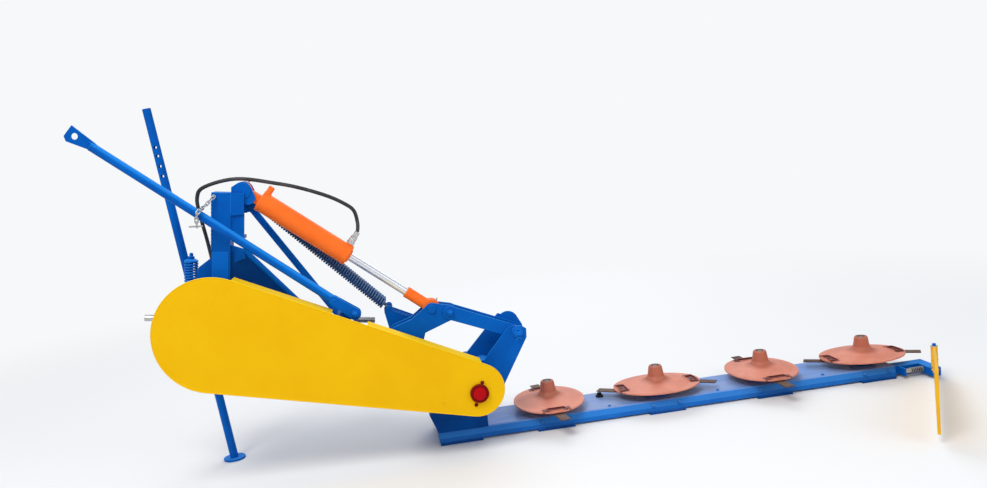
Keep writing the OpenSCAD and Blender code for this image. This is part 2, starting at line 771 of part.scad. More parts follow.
// Hose
module hose() {
    color("black") tube_along(hose_path, hose_r, hose_sides);
}
function at_end(i) = hose_route[max(0, min(len(hose_route) - 1, i))];
function hose_point(i, t) = let (a = at_end(i - 1), b = at_end(i), c = at_end(i + 1), d = at_end(i + 2))
    0.5 * (2 * b + (c - a) * t + (2 * a - 5 * b + 4 * c - d) * t * t + (3 * b - a - 3 * c + d) * t * t * t);
function unit(v) = v / norm(v);
function heading(path, i) = unit(path[min(i + 1, len(path) - 1)] - path[max(i - 1, 0)]);
// a round tube along a path, its rings carried along without twist
module tube_along(path, r, sides) {
    count = len(path);
    across = [for (i = 0, n = unit(cross(heading(path, 0), [0.31, 0.95, 0.1])); i < count;
        i = i + 1, n = i < count ? unit(n - (n * heading(path, i)) * heading(path, i)) : n) n];
    points = [for (i = [0 : count - 1]) let (n = across[i], m = cross(heading(path, i), n))
        for (k = [0 : sides - 1]) path[i] + r * (cos(360 * k / sides) * n + sin(360 * k / sides) * m)];
    walls = [for (i = [0 : count - 2]) for (k = [0 : sides - 1])
        let (a = i * sides + k, b = i * sides + (k + 1) % sides)
        each [[a, a + sides, b + sides], [a, b + sides, b]]];
    ends = [[for (k = [0 : sides - 1]) k], [for (k = [sides - 1 : -1 : 0]) (count - 1) * sides + k]];
    polyhedron(points, concat(walls, ends));
}

module coupler() {
    last = len(hose_path) - 1;
    color("silver") bar_between(hose_path[last], hose_path[last] + 60 * heading(hose_path, last), 13);
}

hitch_frame();
hitch_pins();
mast();
mast_braces();
cylinder_clevis();
stand_socket();
relief_spring();
relief_bracket();
stand();
drive_pulley();
driven_pulley();
belts();
subframe_beam();
crank_post();
spring_post();
balance_springs();
spring_hanger();
belt_cover();
cover_stays();
cover_cap();
stay_lug();
transport_tube();
stay_bolt();
chain();
crank();
crank_pin();
pull_link();
lever();
lift_barrel();
lift_rod();
rod_eye();
bar_beam();
gearbox();
skids();
filler_plug();
rotor_1();
rotor_2();
rotor_3();
rotor_4();
knives_1();
knives_2();
knives_3();
knives_4();
outer_arm();
board_spring();
divider_board();
hose();
coupler();
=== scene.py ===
from math import atan2, cos, hypot, pi, radians, sin

import bmesh
import bpy
from mathutils import Matrix, Vector


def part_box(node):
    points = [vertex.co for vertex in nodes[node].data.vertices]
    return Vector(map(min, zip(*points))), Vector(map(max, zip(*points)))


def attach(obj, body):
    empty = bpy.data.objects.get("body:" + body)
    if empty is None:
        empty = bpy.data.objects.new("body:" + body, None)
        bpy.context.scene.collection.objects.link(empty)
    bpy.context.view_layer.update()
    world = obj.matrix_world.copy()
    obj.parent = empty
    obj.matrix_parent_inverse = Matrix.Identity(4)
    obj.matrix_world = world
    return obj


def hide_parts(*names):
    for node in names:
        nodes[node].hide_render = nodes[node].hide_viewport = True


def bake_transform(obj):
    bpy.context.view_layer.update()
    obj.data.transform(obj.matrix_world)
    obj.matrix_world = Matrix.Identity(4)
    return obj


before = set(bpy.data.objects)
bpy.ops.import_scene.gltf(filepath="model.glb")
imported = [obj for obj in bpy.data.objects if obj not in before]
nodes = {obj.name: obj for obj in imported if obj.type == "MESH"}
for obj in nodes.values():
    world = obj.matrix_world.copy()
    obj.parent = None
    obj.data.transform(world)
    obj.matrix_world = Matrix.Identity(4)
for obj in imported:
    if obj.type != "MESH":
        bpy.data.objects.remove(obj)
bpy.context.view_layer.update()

# Sizes and places shared with the frame, in metres
ROTOR_PITCH = 0.52
ROTORS = 4
KNIFE_AT = 0.172
DRIVE_SHAFT = Vector((-1.387, 0.0, 0.656))
FOLD_AXIS = Vector((-0.353, 0.0, 0.284))
HITCH_LEAN = radians(8)
STAND_LEAN = radians(5.6)
HITCH_TURN = Matrix.Translation(DRIVE_SHAFT) @ Matrix.Rotation(HITCH_LEAN, 4, "Y")
BELT_SLOPE = atan2(DRIVE_SHAFT.z - FOLD_AXIS.z, FOLD_AXIS.x - DRIVE_SHAFT.x)
BELT_RUN = hypot(DRIVE_SHAFT.z - FOLD_AXIS.z, FOLD_AXIS.x - DRIVE_SHAFT.x)
COVER_BACK = -0.330
COVER_BIG, COVER_SMALL = 0.233, 0.112
CYLINDER_Y = -0.163
MAST_PIN = Vector((-1.2124, CYLINDER_Y, 1.2121))
EYE_PIN = Vector((-0.501, CYLINDER_Y, 0.627))
ALONG_ROD = (EYE_PIN - MAST_PIN).normalized()
ABOVE_ROD = Vector((-ALONG_ROD.z, 0.0, ALONG_ROD.x))
SPRING_HEAD, SPRING_FOOT = Vector((-1.164, 0.0, 1.144)), Vector((-0.679, 0.0, 0.632))
SPRING_YS = (-0.086, -0.034)
STAY_PIN = Vector((-0.820, -0.270, 0.662))
STAY_EYE = Vector((-1.800, -0.270, 1.492))
LEVER_PIN = Vector((-0.146, 0.0, 0.480))
LINK_PIN = Vector((-0.425, 0.0, 0.600))
BOARD_HINGE = Vector((1.8, -0.208, 0.0))
BOARD_TURN = radians(-124)
BACK, UP = Vector((0, -1, 0)), Vector((0, 0, 1))

# The hitch in its own leaning frame: the mast's sides, rear and front, the beam's ends,
# and the top and foot of both braces
MAST_LEFT, MAST_RIGHT = -0.0245, 0.0515
MAST_REAR, MAST_FRONT = -0.212, -0.118
BEAM_REAR, BEAM_FRONT = -0.007, 0.071
BEAM_ENDS = (-0.262, 0.549)
UPPER_BRACE = ((0.107, 0.015, 0.486), (0.545, 0.025, -0.052))
LOWER_BRACE = ((0.097, -0.165, 0.328), (0.45, 0.05, -0.062))
WEB_AT, WEB_TURN = (MAST_RIGHT, -0.1927, 0), radians(31.3)

# Lift cylinder: the barrel's radius, and both ports' distances from the mast's pin
BARREL_RADIUS = 0.0425
SPARE_PORT, HOSE_PORT = 0.09, 0.483
HOSE_FITTING_AT = (-0.795, CYLINDER_Y, 0.9585)

# Belt cover: the cap and where its rim begins, its bolts in x and z, and both cover stays
CAP_AT = Vector((-0.348, COVER_BACK, 0.270))
CAP_RIM = 0.0285
CAP_BOLTS = ((-0.3318, 0.3136), (-0.3667, 0.2216))
COVER_STAYS_AT = (0.39, 0.57)

# Faces across the machine that nuts and washers sit on
STAY_REAR, STAY_FRONT = -0.289, -0.251
LEVER_NUT, LEVER_SPLIT_PIN, LEVER_FACE = -0.220, -0.2405, -0.2165
LINK_REAR, LINK_FRONT = -0.212, -0.1192
HUB_FACE, COLLAR_FACE = 0.0718, 0.0735

# Places of small pieces on what carries them
HUB_BOLT_CIRCLE = 0.052
CRANK_POST_AT = (-0.625, -0.1165, 0.42)
STAY_PLATE_LENGTH = 0.0705
STAND_FOOT = (-1.452, 0.1, 0.0)
STAND_PIN_AT, STAND_PIN_RING_AT = 0.56, 0.545
SOCKET_ENDS = (0.5205, 0.6695)
RELIEF_AT = (-0.15, 0.03, 0)
BAR_TOP = 0.0538
BOARD_ROD_Y, BOARD_ROD_Z = -0.152, 0.032
STRAP_HEIGHTS = (0.077, 0.126)
STRAP_MIDDLE, STRAP_END, STRAP_BOLTS = 0.084, 0.159, (0.05, 0.135)

# Bearing caps on the gear housing: x, y, z and radius
HOUSING_CAPS = ((-0.42, 0.1215, 0.118, 0.042), (FOLD_AXIS.x, 0.1145, FOLD_AXIS.z, 0.044))

# Light: background white, sky strength, what the lamps aim at, and each lamp as name,
# place, size, power and tint
PAPER = (0.93, 0.94, 0.95)
SKY = 0.62
LAMPS_AIM = Vector((-0.3, 0.0, 0.4))
LAMPS = (
    ("key", (-2.6, -3.6, 6.2), 3.0, 258, (1.0, 0.97, 0.92)),
    ("fill", (4.0, -5.0, 3.5), 4.0, 65, (0.92, 0.96, 1.0)),
    ("rear", (1.0, 4.5, 4.5), 4.0, 120, (0.95, 0.97, 1.0)),
)

# Camera: place, turn to the right, tilt down, roll, lens and sensor
CAMERA_AT = (-0.6735, -3.827, 1.315)
CAMERA_TURN = radians(7.32)
CAMERA_DOWN = radians(6.91)
CAMERA_ROLL = radians(5.95)
CAMERA_LENS = 31.44
SENSOR_WIDTH = 36.0


class Wire:
    """A shader value that can be added, multiplied and so on."""

    def __init__(self, finish, socket):
        self.finish, self.socket = finish, socket

    def math(self, operation, *others):
        node = self.finish.node("ShaderNodeMath", {"operation": operation})
        for place, value in enumerate((self, *others)):
            self.finish.feed(node.inputs[place], value)
        return Wire(self.finish, node.outputs[0])

    def __add__(self, other):
        return self.math("ADD", other)

    __radd__ = __add__

    def __mul__(self, other):
        return self.math("MULTIPLY", other)

    __rmul__ = __mul__

    def __sub__(self, other):
        return self.math("SUBTRACT", other)

    def __rsub__(self, other):
        return (self * -1.0).math("ADD", other)

    def __pow__(self, other):
        return self.math("POWER", other)

    def step(self, low, high):
        """0 below low, 1 above high, smooth between."""
        node = self.finish.node("ShaderNodeMapRange", {"interpolation_type": "SMOOTHSTEP"},
                                {"Value": self, "From Min": low, "From Max": high})
        return Wire(self.finish, node.outputs[0])


class Finish:
    """One material and its nodes."""

    def __init__(self, name):
        self.material = bpy.data.materials.new(name)
        self.material.use_nodes = True
        self.tree = self.material.node_tree
        self.surface = next(n for n in self.tree.nodes if n.type == "BSDF_PRINCIPLED")
        self.place = Wire(self, self.node("ShaderNodeTexCoord").outputs["Object"])

    def feed(self, socket, value):
        if isinstance(value, Wire):
            self.tree.links.new(value.socket, socket)
        else:
            socket.default_value = value

    def node(self, kind, settings=None, inputs=None):
        made = self.tree.nodes.new(kind)
        for key, value in (settings or {}).items():
            setattr(made, key, value)
        for key, value in (inputs or {}).items():
            self.feed(made.inputs[key], value)
        return made

    def mapped(self, where, setting, values):
        made = self.node("ShaderNodeMapping", None, {"Vector": where, setting: values})
        return Wire(self, made.outputs[0])

    def part_of(self, where, name):
        return Wire(self, self.node("ShaderNodeSeparateXYZ", None, {"Vector": where}).outputs[name])

    def noise(self, scale, detail=4.0, rough=0.5, stretch=None):
        where = self.place
        if stretch:
            where = self.mapped(where, "Scale", stretch)
        made = self.node("ShaderNodeTexNoise", None,
                         {"Vector": where, "Scale": scale, "Detail": detail, "Roughness": rough})
        return Wire(self, made.outputs["Fac"])

    def axis(self, name, centre=None):
        where = self.place
        if centre:
            where = self.mapped(where, "Location", [-c for c in centre])
        return self.part_of(where, name)

    def facing_up(self):
        normal = self.node("ShaderNodeNewGeometry").outputs["Normal"]
        return self.part_of(Wire(self, normal), "Z")

    def mix(self, share, first, second):
        made = self.node("ShaderNodeMix", {"data_type": "RGBA", "clamp_factor": True})
        self.feed(made.inputs[0], share)
        for socket, value in ((made.inputs[6], first), (made.inputs[7], second)):
            self.feed(socket, value if isinstance(value, Wire) else (*value, 1.0))
        return Wire(self, made.outputs[2])

    def rounded(self, radius):
        """The normal of edges rounded off at a radius."""
        made = self.node("ShaderNodeBevel", {"samples": 4}, {"Radius": radius})
        return Wire(self, made.outputs[0])

    def edges(self, rounded):
        """0 on open faces, up to about 0.3 on sharp edges."""
        true = Wire(self, self.node("ShaderNodeNewGeometry").outputs["True Normal"])
        dot = self.node("ShaderNodeVectorMath", {"operation": "DOT_PRODUCT"}, {0: rounded, 1: true})
        return 1.0 - Wire(self, dot.outputs["Value"])

    def bump(self, height, strength, distance=0.001, normal=None):
        inputs = {"Height": height, "Strength": strength, "Distance": distance}
        if normal:
            inputs["Normal"] = normal
        made = self.node("ShaderNodeBump", None, inputs)
        self.feed(self.surface.inputs["Normal"], Wire(self, made.outputs[0]))

    def set(self, **values):
        for name, value in values.items():
            name = name.replace("_", " ").title().replace("Ior", "IOR")
            if not isinstance(value, Wire) and name == "Base Color":
                value = (*value, 1.0)
            self.feed(self.surface.inputs[name], value)
        return self


DUST = (0.33, 0.29, 0.22)
RUST = (0.16, 0.065, 0.03)


def painted(name, colour, shade, dust=0.35, chips=0.5, gloss=0.32, chip_colour=RUST, light=None,
            rim=0.0015, sky=None, shine=0.1, lit=0.0):
    """Sprayed paint with uneven tone, dust on what faces up, a painted highlight on rims, and chips
    down to rust.

    light is the colour of the painted highlight on rims, and on what faces up by the share lit; sky
    paints a streaked sky reflection on level tops.
    """
    look = Finish(name)
    tone = look.noise(5.0, 6.0, 0.6)
    fine = look.noise(55.0, 5.0, 0.6)
    spots = look.noise(34.0, 8.0, 0.65)
    patch = look.noise(3.2, 3.0, 0.5)
    scratch = look.noise(26.0, 4.0, 0.7, stretch=(1.0, 1.0, 9.0))
    soft = look.rounded(rim)
    # Sharp edges: a painted highlight on rims below, and real scratches down to rust there
    rims = look.edges(soft).step(0.02, 0.16)
    settled = look.facing_up().step(0.35, 1.0) * tone.step(0.35, 0.7) * dust
    base = look.mix(tone.step(0.3, 0.75), shade, colour)
    # Painted highlight: rims mixed towards the light colour, as if they caught the light
    base = look.mix(rims * 0.7, base, light or [min(1.0, c * 1.7 + 0.02) for c in colour])
    # Painted highlight: with lit, what faces up is mixed towards the light colour, as if lit from
    # above
    if lit:
        base = look.mix(look.facing_up().step(0.08, 0.6) * lit, base, light)
    # Painted sky reflection: level tops get pale streaks of the sky colour
    if sky:
        sky_reflection_streaks = look.noise(7.0, 5.0, 0.6, stretch=(0.5, 6.0, 1.0))
        pale = look.facing_up().step(0.6, 0.98) * (sky_reflection_streaks.step(0.3, 0.7) * 0.5 + 0.4)
        base = look.mix(pale, base, sky)
    base = look.mix(settled + fine.step(0.55, 0.8) * (dust * 0.25), base, DUST)
    bare = spots.step(0.66, 0.69) * patch.step(0.5, 0.62) + rims * scratch.step(0.58, 0.66)
    bare = bare * chips
    base = look.mix(bare, base, chip_colour)
    look.set(base_color=base, roughness=tone * 0.16 + settled * 0.5 + bare * 0.4 + gloss,
             metallic=0.0, specular_ior_level=shine, ior=1.3)
    look.bump(fine * 0.35 + bare * -1.2, 0.22, 0.0006, soft)
    return look.material


def steel(name, colour, dark, rough=0.35, metal=1.0, rust=0.3):
    """Bare or plated steel with a drawn grain, stains and a little rust."""
    look = Finish(name)
    grain = look.noise(130.0, 3.0, 0.7)
    stain = look.noise(9.0, 6.0, 0.65)
    pits = look.noise(48.0, 7.0, 0.7)
    brown = pits.step(0.6, 0.72) * stain.step(0.45, 0.65) * rust
    base = look.mix(stain.step(0.3, 0.7), dark, colour)
    look.set(base_color=look.mix(brown, base, RUST), roughness=stain * 0.2 + brown * 0.5 + rough,
             metallic=brown * (-0.8 * metal) + metal)
    look.bump(grain, 0.15, 0.0004)
    return look.material


def rubber(name, colour, worn):
    """Black rubber with a grey bloom."""
    look = Finish(name)
    bloom = look.noise(14.0, 6.0, 0.6)
    grain = look.noise(320.0, 2.0, 0.5)
    look.set(base_color=look.mix(bloom.step(0.4, 0.75), colour, worn),
             roughness=bloom * 0.25 + 0.42, metallic=0.0)
    look.bump(grain, 0.2, 0.0003)
    return look.material


def primer(name, centre, turned):
    """Salmon primer on a rotor: pale dish, redder hub, dark red pockets, smears towards the rim."""
    look = Finish(name)
    x, y, z = look.axis("X", centre), look.axis("Y", centre), look.axis("Z", centre)
    out = (x * x + y * y) ** 0.5
    long = (y if turned else x).math("ABSOLUTE")
    wide = (x if turned else y).math("ABSOLUTE")
    tone = look.noise(11.0, 7.0, 0.62)
    speck = look.noise(90.0, 6.0, 0.6)
    smear = look.noise(22.0, 5.0, 0.7, stretch=(1.0, 3.0, 1.0))
    soft = look.rounded(0.0012)
    base = look.mix(tone.step(0.3, 0.72), (0.6, 0.185, 0.115), (0.72, 0.25, 0.16))
    base = look.mix(out.step(0.085, 0.05) * 0.75, base, (0.4, 0.1, 0.05))
    base = look.mix(smear.step(0.55, 0.78) * out.step(0.06, 0.2) * 0.4, base, (0.85, 0.45, 0.33))
    inner = long.step(KNIFE_AT - 0.026, KNIFE_AT - 0.022)
    outer = long.step(KNIFE_AT + 0.022, KNIFE_AT + 0.018)
    pocket = inner * outer * wide.step(0.066, 0.062)
    base = look.mix(pocket * 0.95, base, (0.13, 0.012, 0.008))
    base = look.mix(speck.step(0.66, 0.74) * 0.5, base, (0.24, 0.07, 0.04))
    base = look.mix(out.step(0.021, 0.019) * z.step(0.1, 0.12), base, (0.16, 0.14, 0.14))
    look.set(base_color=base, roughness=tone * 0.2 + 0.42, metallic=0.0)
    look.bump(speck * 0.5 + tone, 0.22, 0.0008, soft)
    return look.material


# Blue; lit paints a highlight on what faces up, light is its colour
BLUE = painted("blue_paint", (0.001, 0.118, 0.51), (0.001, 0.088, 0.41), dust=0.06, chips=0.35,
               light=(0.02, 0.3, 0.9), lit=0.6)
# Painted light: a lighter copy of the blue for parts that catch more light
LIT_BLUE = painted("lit_blue_paint", (0.003, 0.16, 0.66), (0.002, 0.13, 0.56),
                    dust=0.05, chips=0.2, light=(0.05, 0.35, 0.9))
# Bar paint; sky paints a streaked sky reflection on its top, lit a highlight on what faces up
BAR_BLUE = painted("bar_paint", (0.002, 0.13, 0.52), (0.002, 0.09, 0.4), dust=0.25, chips=0.45,
                   gloss=0.25, light=(0.06, 0.33, 0.85), sky=(0.27, 0.37, 0.68), shine=0.3, lit=0.6)
# Painted shade: a darker copy of the blue for parts that sit in shade; lit adds a little painted
# highlight on their tops
SHADED_BLUE = painted("dark_blue_paint", (0.001, 0.068, 0.31), (0.001, 0.045, 0.22), dust=0.12,
                    gloss=0.38, light=(0.01, 0.17, 0.6), lit=0.3)
# Yellow; lit paints a highlight on the cover's upper faces and lips
YELLOW = painted("yellow_paint", (0.85, 0.49, 0.004), (0.82, 0.45, 0.003), dust=0.0, chips=0.45,
                 gloss=0.5, chip_colour=(0.3, 0.16, 0.05), light=(1.0, 0.66, 0.01), lit=0.8)
BOARD = painted("board_paint", (0.93, 0.52, 0.02), (0.82, 0.42, 0.015), dust=0.12, chips=0.3,
                gloss=0.4, light=(1.0, 0.78, 0.2))
ORANGE = painted("orange_paint", (0.98, 0.19, 0.028), (0.9, 0.15, 0.02), dust=0.06, chips=0.2,
                 gloss=0.28, light=(1.0, 0.34, 0.12))
RED = painted("red_cap", (0.46, 0.004, 0.008), (0.38, 0.003, 0.006), dust=0.0, chips=0.1, gloss=0.3)
DARK_RED = painted("cap_rim", (0.2, 0.006, 0.003), (0.14, 0.005, 0.003), dust=0.05, chips=0.2,
                   gloss=0.5)
KNIFE = painted("knife_steel", (0.12, 0.05, 0.035), (0.06, 0.025, 0.018), dust=0.3, chips=0.8,
                gloss=0.4, chip_colour=(0.2, 0.19, 0.18), shine=0.4)
ZINC = steel("zinc", (0.62, 0.63, 0.62), (0.4, 0.41, 0.42), 0.3)
CHROME = steel("chrome", (0.8, 0.8, 0.83), (0.72, 0.73, 0.77), 0.2, metal=0.9, rust=0.03)
DARK_STEEL = steel("dark_steel", (0.16, 0.16, 0.17), (0.07, 0.07, 0.075), 0.42, rust=0.6)
BLACK_STEEL = painted("blackened_steel", (0.02, 0.02, 0.023), (0.01, 0.01, 0.012), dust=0.05,
                      chips=0.1, gloss=0.45, light=(0.05, 0.05, 0.055))
# Spring paint; light, rim and lit paint highlights on the coils' rims and tops
SPRING = painted("spring_paint", (0.02, 0.085, 0.27), (0.008, 0.035, 0.13), dust=0.15, gloss=0.3,
                 light=(0.22, 0.36, 0.62), rim=0.003, lit=0.5)
BELT = rubber("belt_rubber", (0.02, 0.02, 0.02), (0.06, 0.06, 0.06))
HOSE = rubber("hose_rubber", (0.012, 0.012, 0.013), (0.06, 0.06, 0.065))


def dress(material, *names):
    for name in names:
        slots = nodes[name].data.materials
        slots.clear()
        slots.append(material)


dress(BLUE, "hitch_frame", "mast", "cylinder_clevis", "stand_socket", "relief_bracket", "stand",
      "spring_hanger", "spring_post", "transport_tube", "crank", "pull_link", "lever", "outer_arm",
      "crank_pin", "stay_bolt")
# The braces are in the lighter copy of the blue, which paints light
dress(LIT_BLUE, "mast_braces")
dress(BAR_BLUE, "bar_beam")
# These parts are in the darker copy of the blue, which paints shade
dress(SHADED_BLUE, "subframe_beam", "crank_post", "cover_stays", "stay_lug", "gearbox", "skids")
dress(YELLOW, "belt_cover")
dress(BOARD, "divider_board")
dress(ORANGE, "lift_barrel", "rod_eye")
dress(RED, "cover_cap")
dress(ZINC, "hitch_pins", "chain", "coupler")
dress(BLACK_STEEL, "filler_plug")
dress(CHROME, "lift_rod")
dress(DARK_STEEL, "drive_pulley", "driven_pulley", "board_spring")
dress(KNIFE, "knives_1", "knives_2", "knives_3", "knives_4")
dress(SPRING, "balance_springs")
dress(BELT, "belts")
dress(HOSE, "hose")
for i in range(ROTORS):
    own_primer = primer(f"rotor_primer_{i + 1}", (i * ROTOR_PITCH, 0.0, 0.0), i % 2 == 0)
    dress(own_primer, f"rotor_{i + 1}")


# Floor, light and camera
def stage():
    bpy.ops.mesh.primitive_plane_add(size=80, location=(0, 0, -0.0005))
    floor = bpy.context.object
    floor.name = "floor"
    look = Finish("pale_floor")
    x, y = look.axis("X", (-0.3, 0, 0)), look.axis("Y")
    away = (x * x + y * y) ** 0.5
    look.set(base_color=(0.86, 0.86, 0.86), roughness=0.95)
    glow = look.node("ShaderNodeEmission", None, {"Color": (*PAPER, 1.0), "Strength": 1.0})
    path = look.node("ShaderNodeLightPath")
    glossy = Wire(look, path.outputs["Is Glossy Ray"])
    seen = Wire(look, path.outputs["Is Camera Ray"]).math("MAXIMUM", glossy)
    both = look.node("ShaderNodeMixShader", None, {0: away.step(2.0, 5.5) * seen})
    look.tree.links.new(look.surface.outputs[0], both.inputs[1])
    look.tree.links.new(glow.outputs[0], both.inputs[2])
    out = next(n for n in look.tree.nodes if n.type == "OUTPUT_MATERIAL")
    look.tree.links.new(both.outputs[0], out.inputs["Surface"])
    floor.data.materials.append(look.material)
    world = bpy.data.worlds.new("studio")
    bpy.context.scene.world = world
    world.use_nodes = True
    tree = world.node_tree
    sky = next(n for n in tree.nodes if n.type == "BACKGROUND")
    sky.inputs["Color"].default_value = (0.9, 0.94, 1.0, 1)
    sky.inputs["Strength"].default_value = SKY
    paper = tree.nodes.new("ShaderNodeBackground")
    paper.inputs["Color"].default_value = (*PAPER, 1)
    path = tree.nodes.new("ShaderNodeLightPath")
    seen = tree.nodes.new("ShaderNodeMath")
    seen.operation = "MAXIMUM"
    tree.links.new(path.outputs["Is Camera Ray"], seen.inputs[0])
    tree.links.new(path.outputs["Is Transmission Ray"], seen.inputs[1])
    mix = tree.nodes.new("ShaderNodeMixShader")
    tree.links.new(seen.outputs[0], mix.inputs[0])
    tree.links.new(sky.outputs[0], mix.inputs[1])
    tree.links.new(paper.outputs[0], mix.inputs[2])
    out = next(n for n in tree.nodes if n.type == "OUTPUT_WORLD")
    tree.links.new(mix.outputs[0], out.inputs[0])
    for name, at, size, power, tint in LAMPS:
        light = bpy.data.lights.new(name, "AREA")
        light.size, light.energy, light.color = size, power, tint
        lamp = bpy.data.objects.new(name, light)
        bpy.context.collection.objects.link(lamp)
        lamp.location = at
        lamp.rotation_euler = (LAMPS_AIM - Vector(at)).to_track_quat("-Z", "Y").to_euler()


def place_camera():
    ahead = Vector((sin(CAMERA_TURN) * cos(CAMERA_DOWN), cos(CAMERA_TURN) * cos(CAMERA_DOWN),
                    -sin(CAMERA_DOWN)))
    level = Vector((cos(CAMERA_TURN), -sin(CAMERA_TURN), 0.0))
    up = level.cross(ahead)
    right = level * cos(CAMERA_ROLL) - up * sin(CAMERA_ROLL)
    top = up * cos(CAMERA_ROLL) + level * sin(CAMERA_ROLL)
    data = bpy.data.cameras.new("camera")
    data.lens, data.sensor_width = CAMERA_LENS, SENSOR_WIDTH
    camera = bpy.data.objects.new("camera", data)
    bpy.context.collection.objects.link(camera)
    turn = Matrix((right, top, -ahead)).transposed().to_4x4()
    camera.matrix_world = Matrix.Translation(CAMERA_AT) @ turn
    bpy.context.scene.camera = camera


stage()
place_camera()


# Modelling tools: a primitive is started, shaped in edit mode, and finished in place
def begin(kind, **values):
    if bpy.context.object and bpy.context.object.mode != "OBJECT":
        bpy.ops.object.mode_set(mode="OBJECT")
    bpy.ops.object.select_all(action="DESELECT")
    getattr(bpy.ops.mesh, f"primitive_{kind}_add")(**values)
    return bpy.context.object


def pick(piece, test, kind="FACE"):
    """Opens edit mode with only the faces or vertices that pass the test selected."""
    bpy.context.view_layer.objects.active = piece
    if piece.mode != "EDIT":
        bpy.ops.object.mode_set(mode="EDIT")
    bpy.ops.mesh.select_mode(type=kind)
    bpy.ops.mesh.select_all(action="DESELECT")
    mesh = bmesh.from_edit_mesh(piece.data)
    for thing in (mesh.faces if kind == "FACE" else mesh.verts):
        thing.select_set(bool(test(thing)))
    mesh.select_flush(True)
    bmesh.update_edit_mesh(piece.data)


def leave(piece):
    if piece.mode != "OBJECT":
        bpy.ops.object.mode_set(mode="OBJECT")
    bpy.ops.object.select_all(action="DESELECT")
    piece.select_set(True)
    bpy.context.view_layer.objects.active = piece


def turned(steps, sides=32):
    """A turned part standing on z: its end face is extruded and resized at each (z, radius)."""
    z, r = steps[0]
    piece = begin("circle", vertices=sides, radius=r, fill_type="NGON", location=(0, 0, z))
    bpy.ops.object.transform_apply(location=True)
    bpy.ops.object.mode_set(mode="EDIT")
    bpy.ops.mesh.select_all(action="SELECT")
    for height, radius in steps[1:]:
        bpy.ops.mesh.extrude_region_move(TRANSFORM_OT_translate={"value": (0, 0, height - z)})
        bpy.ops.transform.resize(value=(radius / r, radius / r, 1.0))
        z, r = height, radius
    bpy.ops.mesh.select_all(action="SELECT")
    bpy.ops.mesh.normals_make_consistent(inside=False)
    leave(piece)
    return piece


def join(pieces):
    leave(pieces[0])
    for piece in pieces:
        piece.select_set(True)
    bpy.context.view_layer.objects.active = pieces[0]
    if len(pieces) > 1:
        bpy.ops.object.join()
    return bpy.context.object


def put(piece, at, toward=UP, size=1.0, spin=0.0):
    """Stands a piece made on z at a place, with its z axis toward a direction."""
    turn = Vector(toward).to_track_quat("Z", "Y").to_matrix().to_4x4()
    start = Matrix.Rotation(spin, 4, "Z") @ Matrix.Scale(size, 4)
    piece.matrix_world = Matrix.Translation(at) @ turn @ start
    leave(piece)
    bpy.ops.object.transform_apply(location=True, rotation=True, scale=True)
    return piece


def copy(piece):
    twin = piece.copy()
    twin.data = piece.data.copy()
    bpy.context.collection.objects.link(twin)
    return twin


def finish(piece, name, material, body=None, replaces=(), smooth=35):
    leave(piece)
    bpy.ops.object.transform_apply(location=True, rotation=True, scale=True)
    bpy.ops.object.shade_smooth_by_angle(angle=radians(smooth))
    piece.name = name
    piece.data.name = name
    piece.data.materials.clear()
    piece.data.materials.append(material)
    if body:
        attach(piece, body)
    if replaces:
        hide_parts(*replaces)
    return piece


def sown(template, rows):
    """Copies of one template, each row (place, direction, size, spin), joined into one piece."""
    pieces = [put(copy(template), *row) for row in rows]
    bpy.data.objects.remove(template)
    return join(pieces)


def coil(radius, wire, low, high, turns, steps=20, sides=8):
    """A wire round z from low to high, by the screw modifier on a small circle."""
    piece = begin("circle", vertices=sides, radius=wire, location=(radius, 0, low),
                  rotation=(pi / 2, 0, 0))
    bpy.ops.object.transform_apply(location=True, rotation=True)
    screw = piece.modifiers.new("coil", "SCREW")
    screw.angle, screw.iterations = 2 * pi, turns
    screw.screw_offset = (high - low) / turns
    screw.steps = screw.render_steps = steps
    bpy.ops.object.modifier_apply(modifier="coil")
    bpy.ops.object.mode_set(mode="EDIT")
    bpy.ops.mesh.select_all(action="SELECT")
    bpy.ops.mesh.remove_doubles(threshold=0.00005)
    bpy.ops.mesh.select_all(action="DESELECT")
    bpy.ops.mesh.select_mode(type="EDGE")
    bpy.ops.mesh.select_non_manifold()
    bpy.ops.mesh.edge_face_add()
    bpy.ops.mesh.select_all(action="SELECT")
    bpy.ops.mesh.normals_make_consistent(inside=False)
    leave(piece)
    return piece


def bent_rod(points, radius, sides=10):
    """A round rod bent through points: a path with a round bevel, made a mesh."""
    bpy.ops.object.select_all(action="DESELECT")
    curve = bpy.data.curves.new("rod", "CURVE")
    curve.dimensions = "3D"
    line = curve.splines.new("POLY")
    line.points.add(len(points) - 1)
    for spot, point in zip(line.points, points):
        spot.co = (*point, 1.0)
    curve.bevel_depth = radius
    curve.bevel_resolution = max(1, sides // 4 - 1)
    curve.use_fill_caps = True
    rod = bpy.data.objects.new("rod", curve)
    bpy.context.collection.objects.link(rod)
    rod.select_set(True)
    bpy.context.view_layer.objects.active = rod
    bpy.ops.object.convert(target="MESH")
    return bpy.context.object


def arc(centre, radius, start, stop, count, u=Vector((1, 0, 0)), v=UP):
    """Points round an arc in the plane of u and v."""
    angles = [radians(start + (stop - start) * i / (count - 1)) for i in range(count)]
    return [Vector(centre) + radius * (cos(t) * u + sin(t) * v) for t in angles]


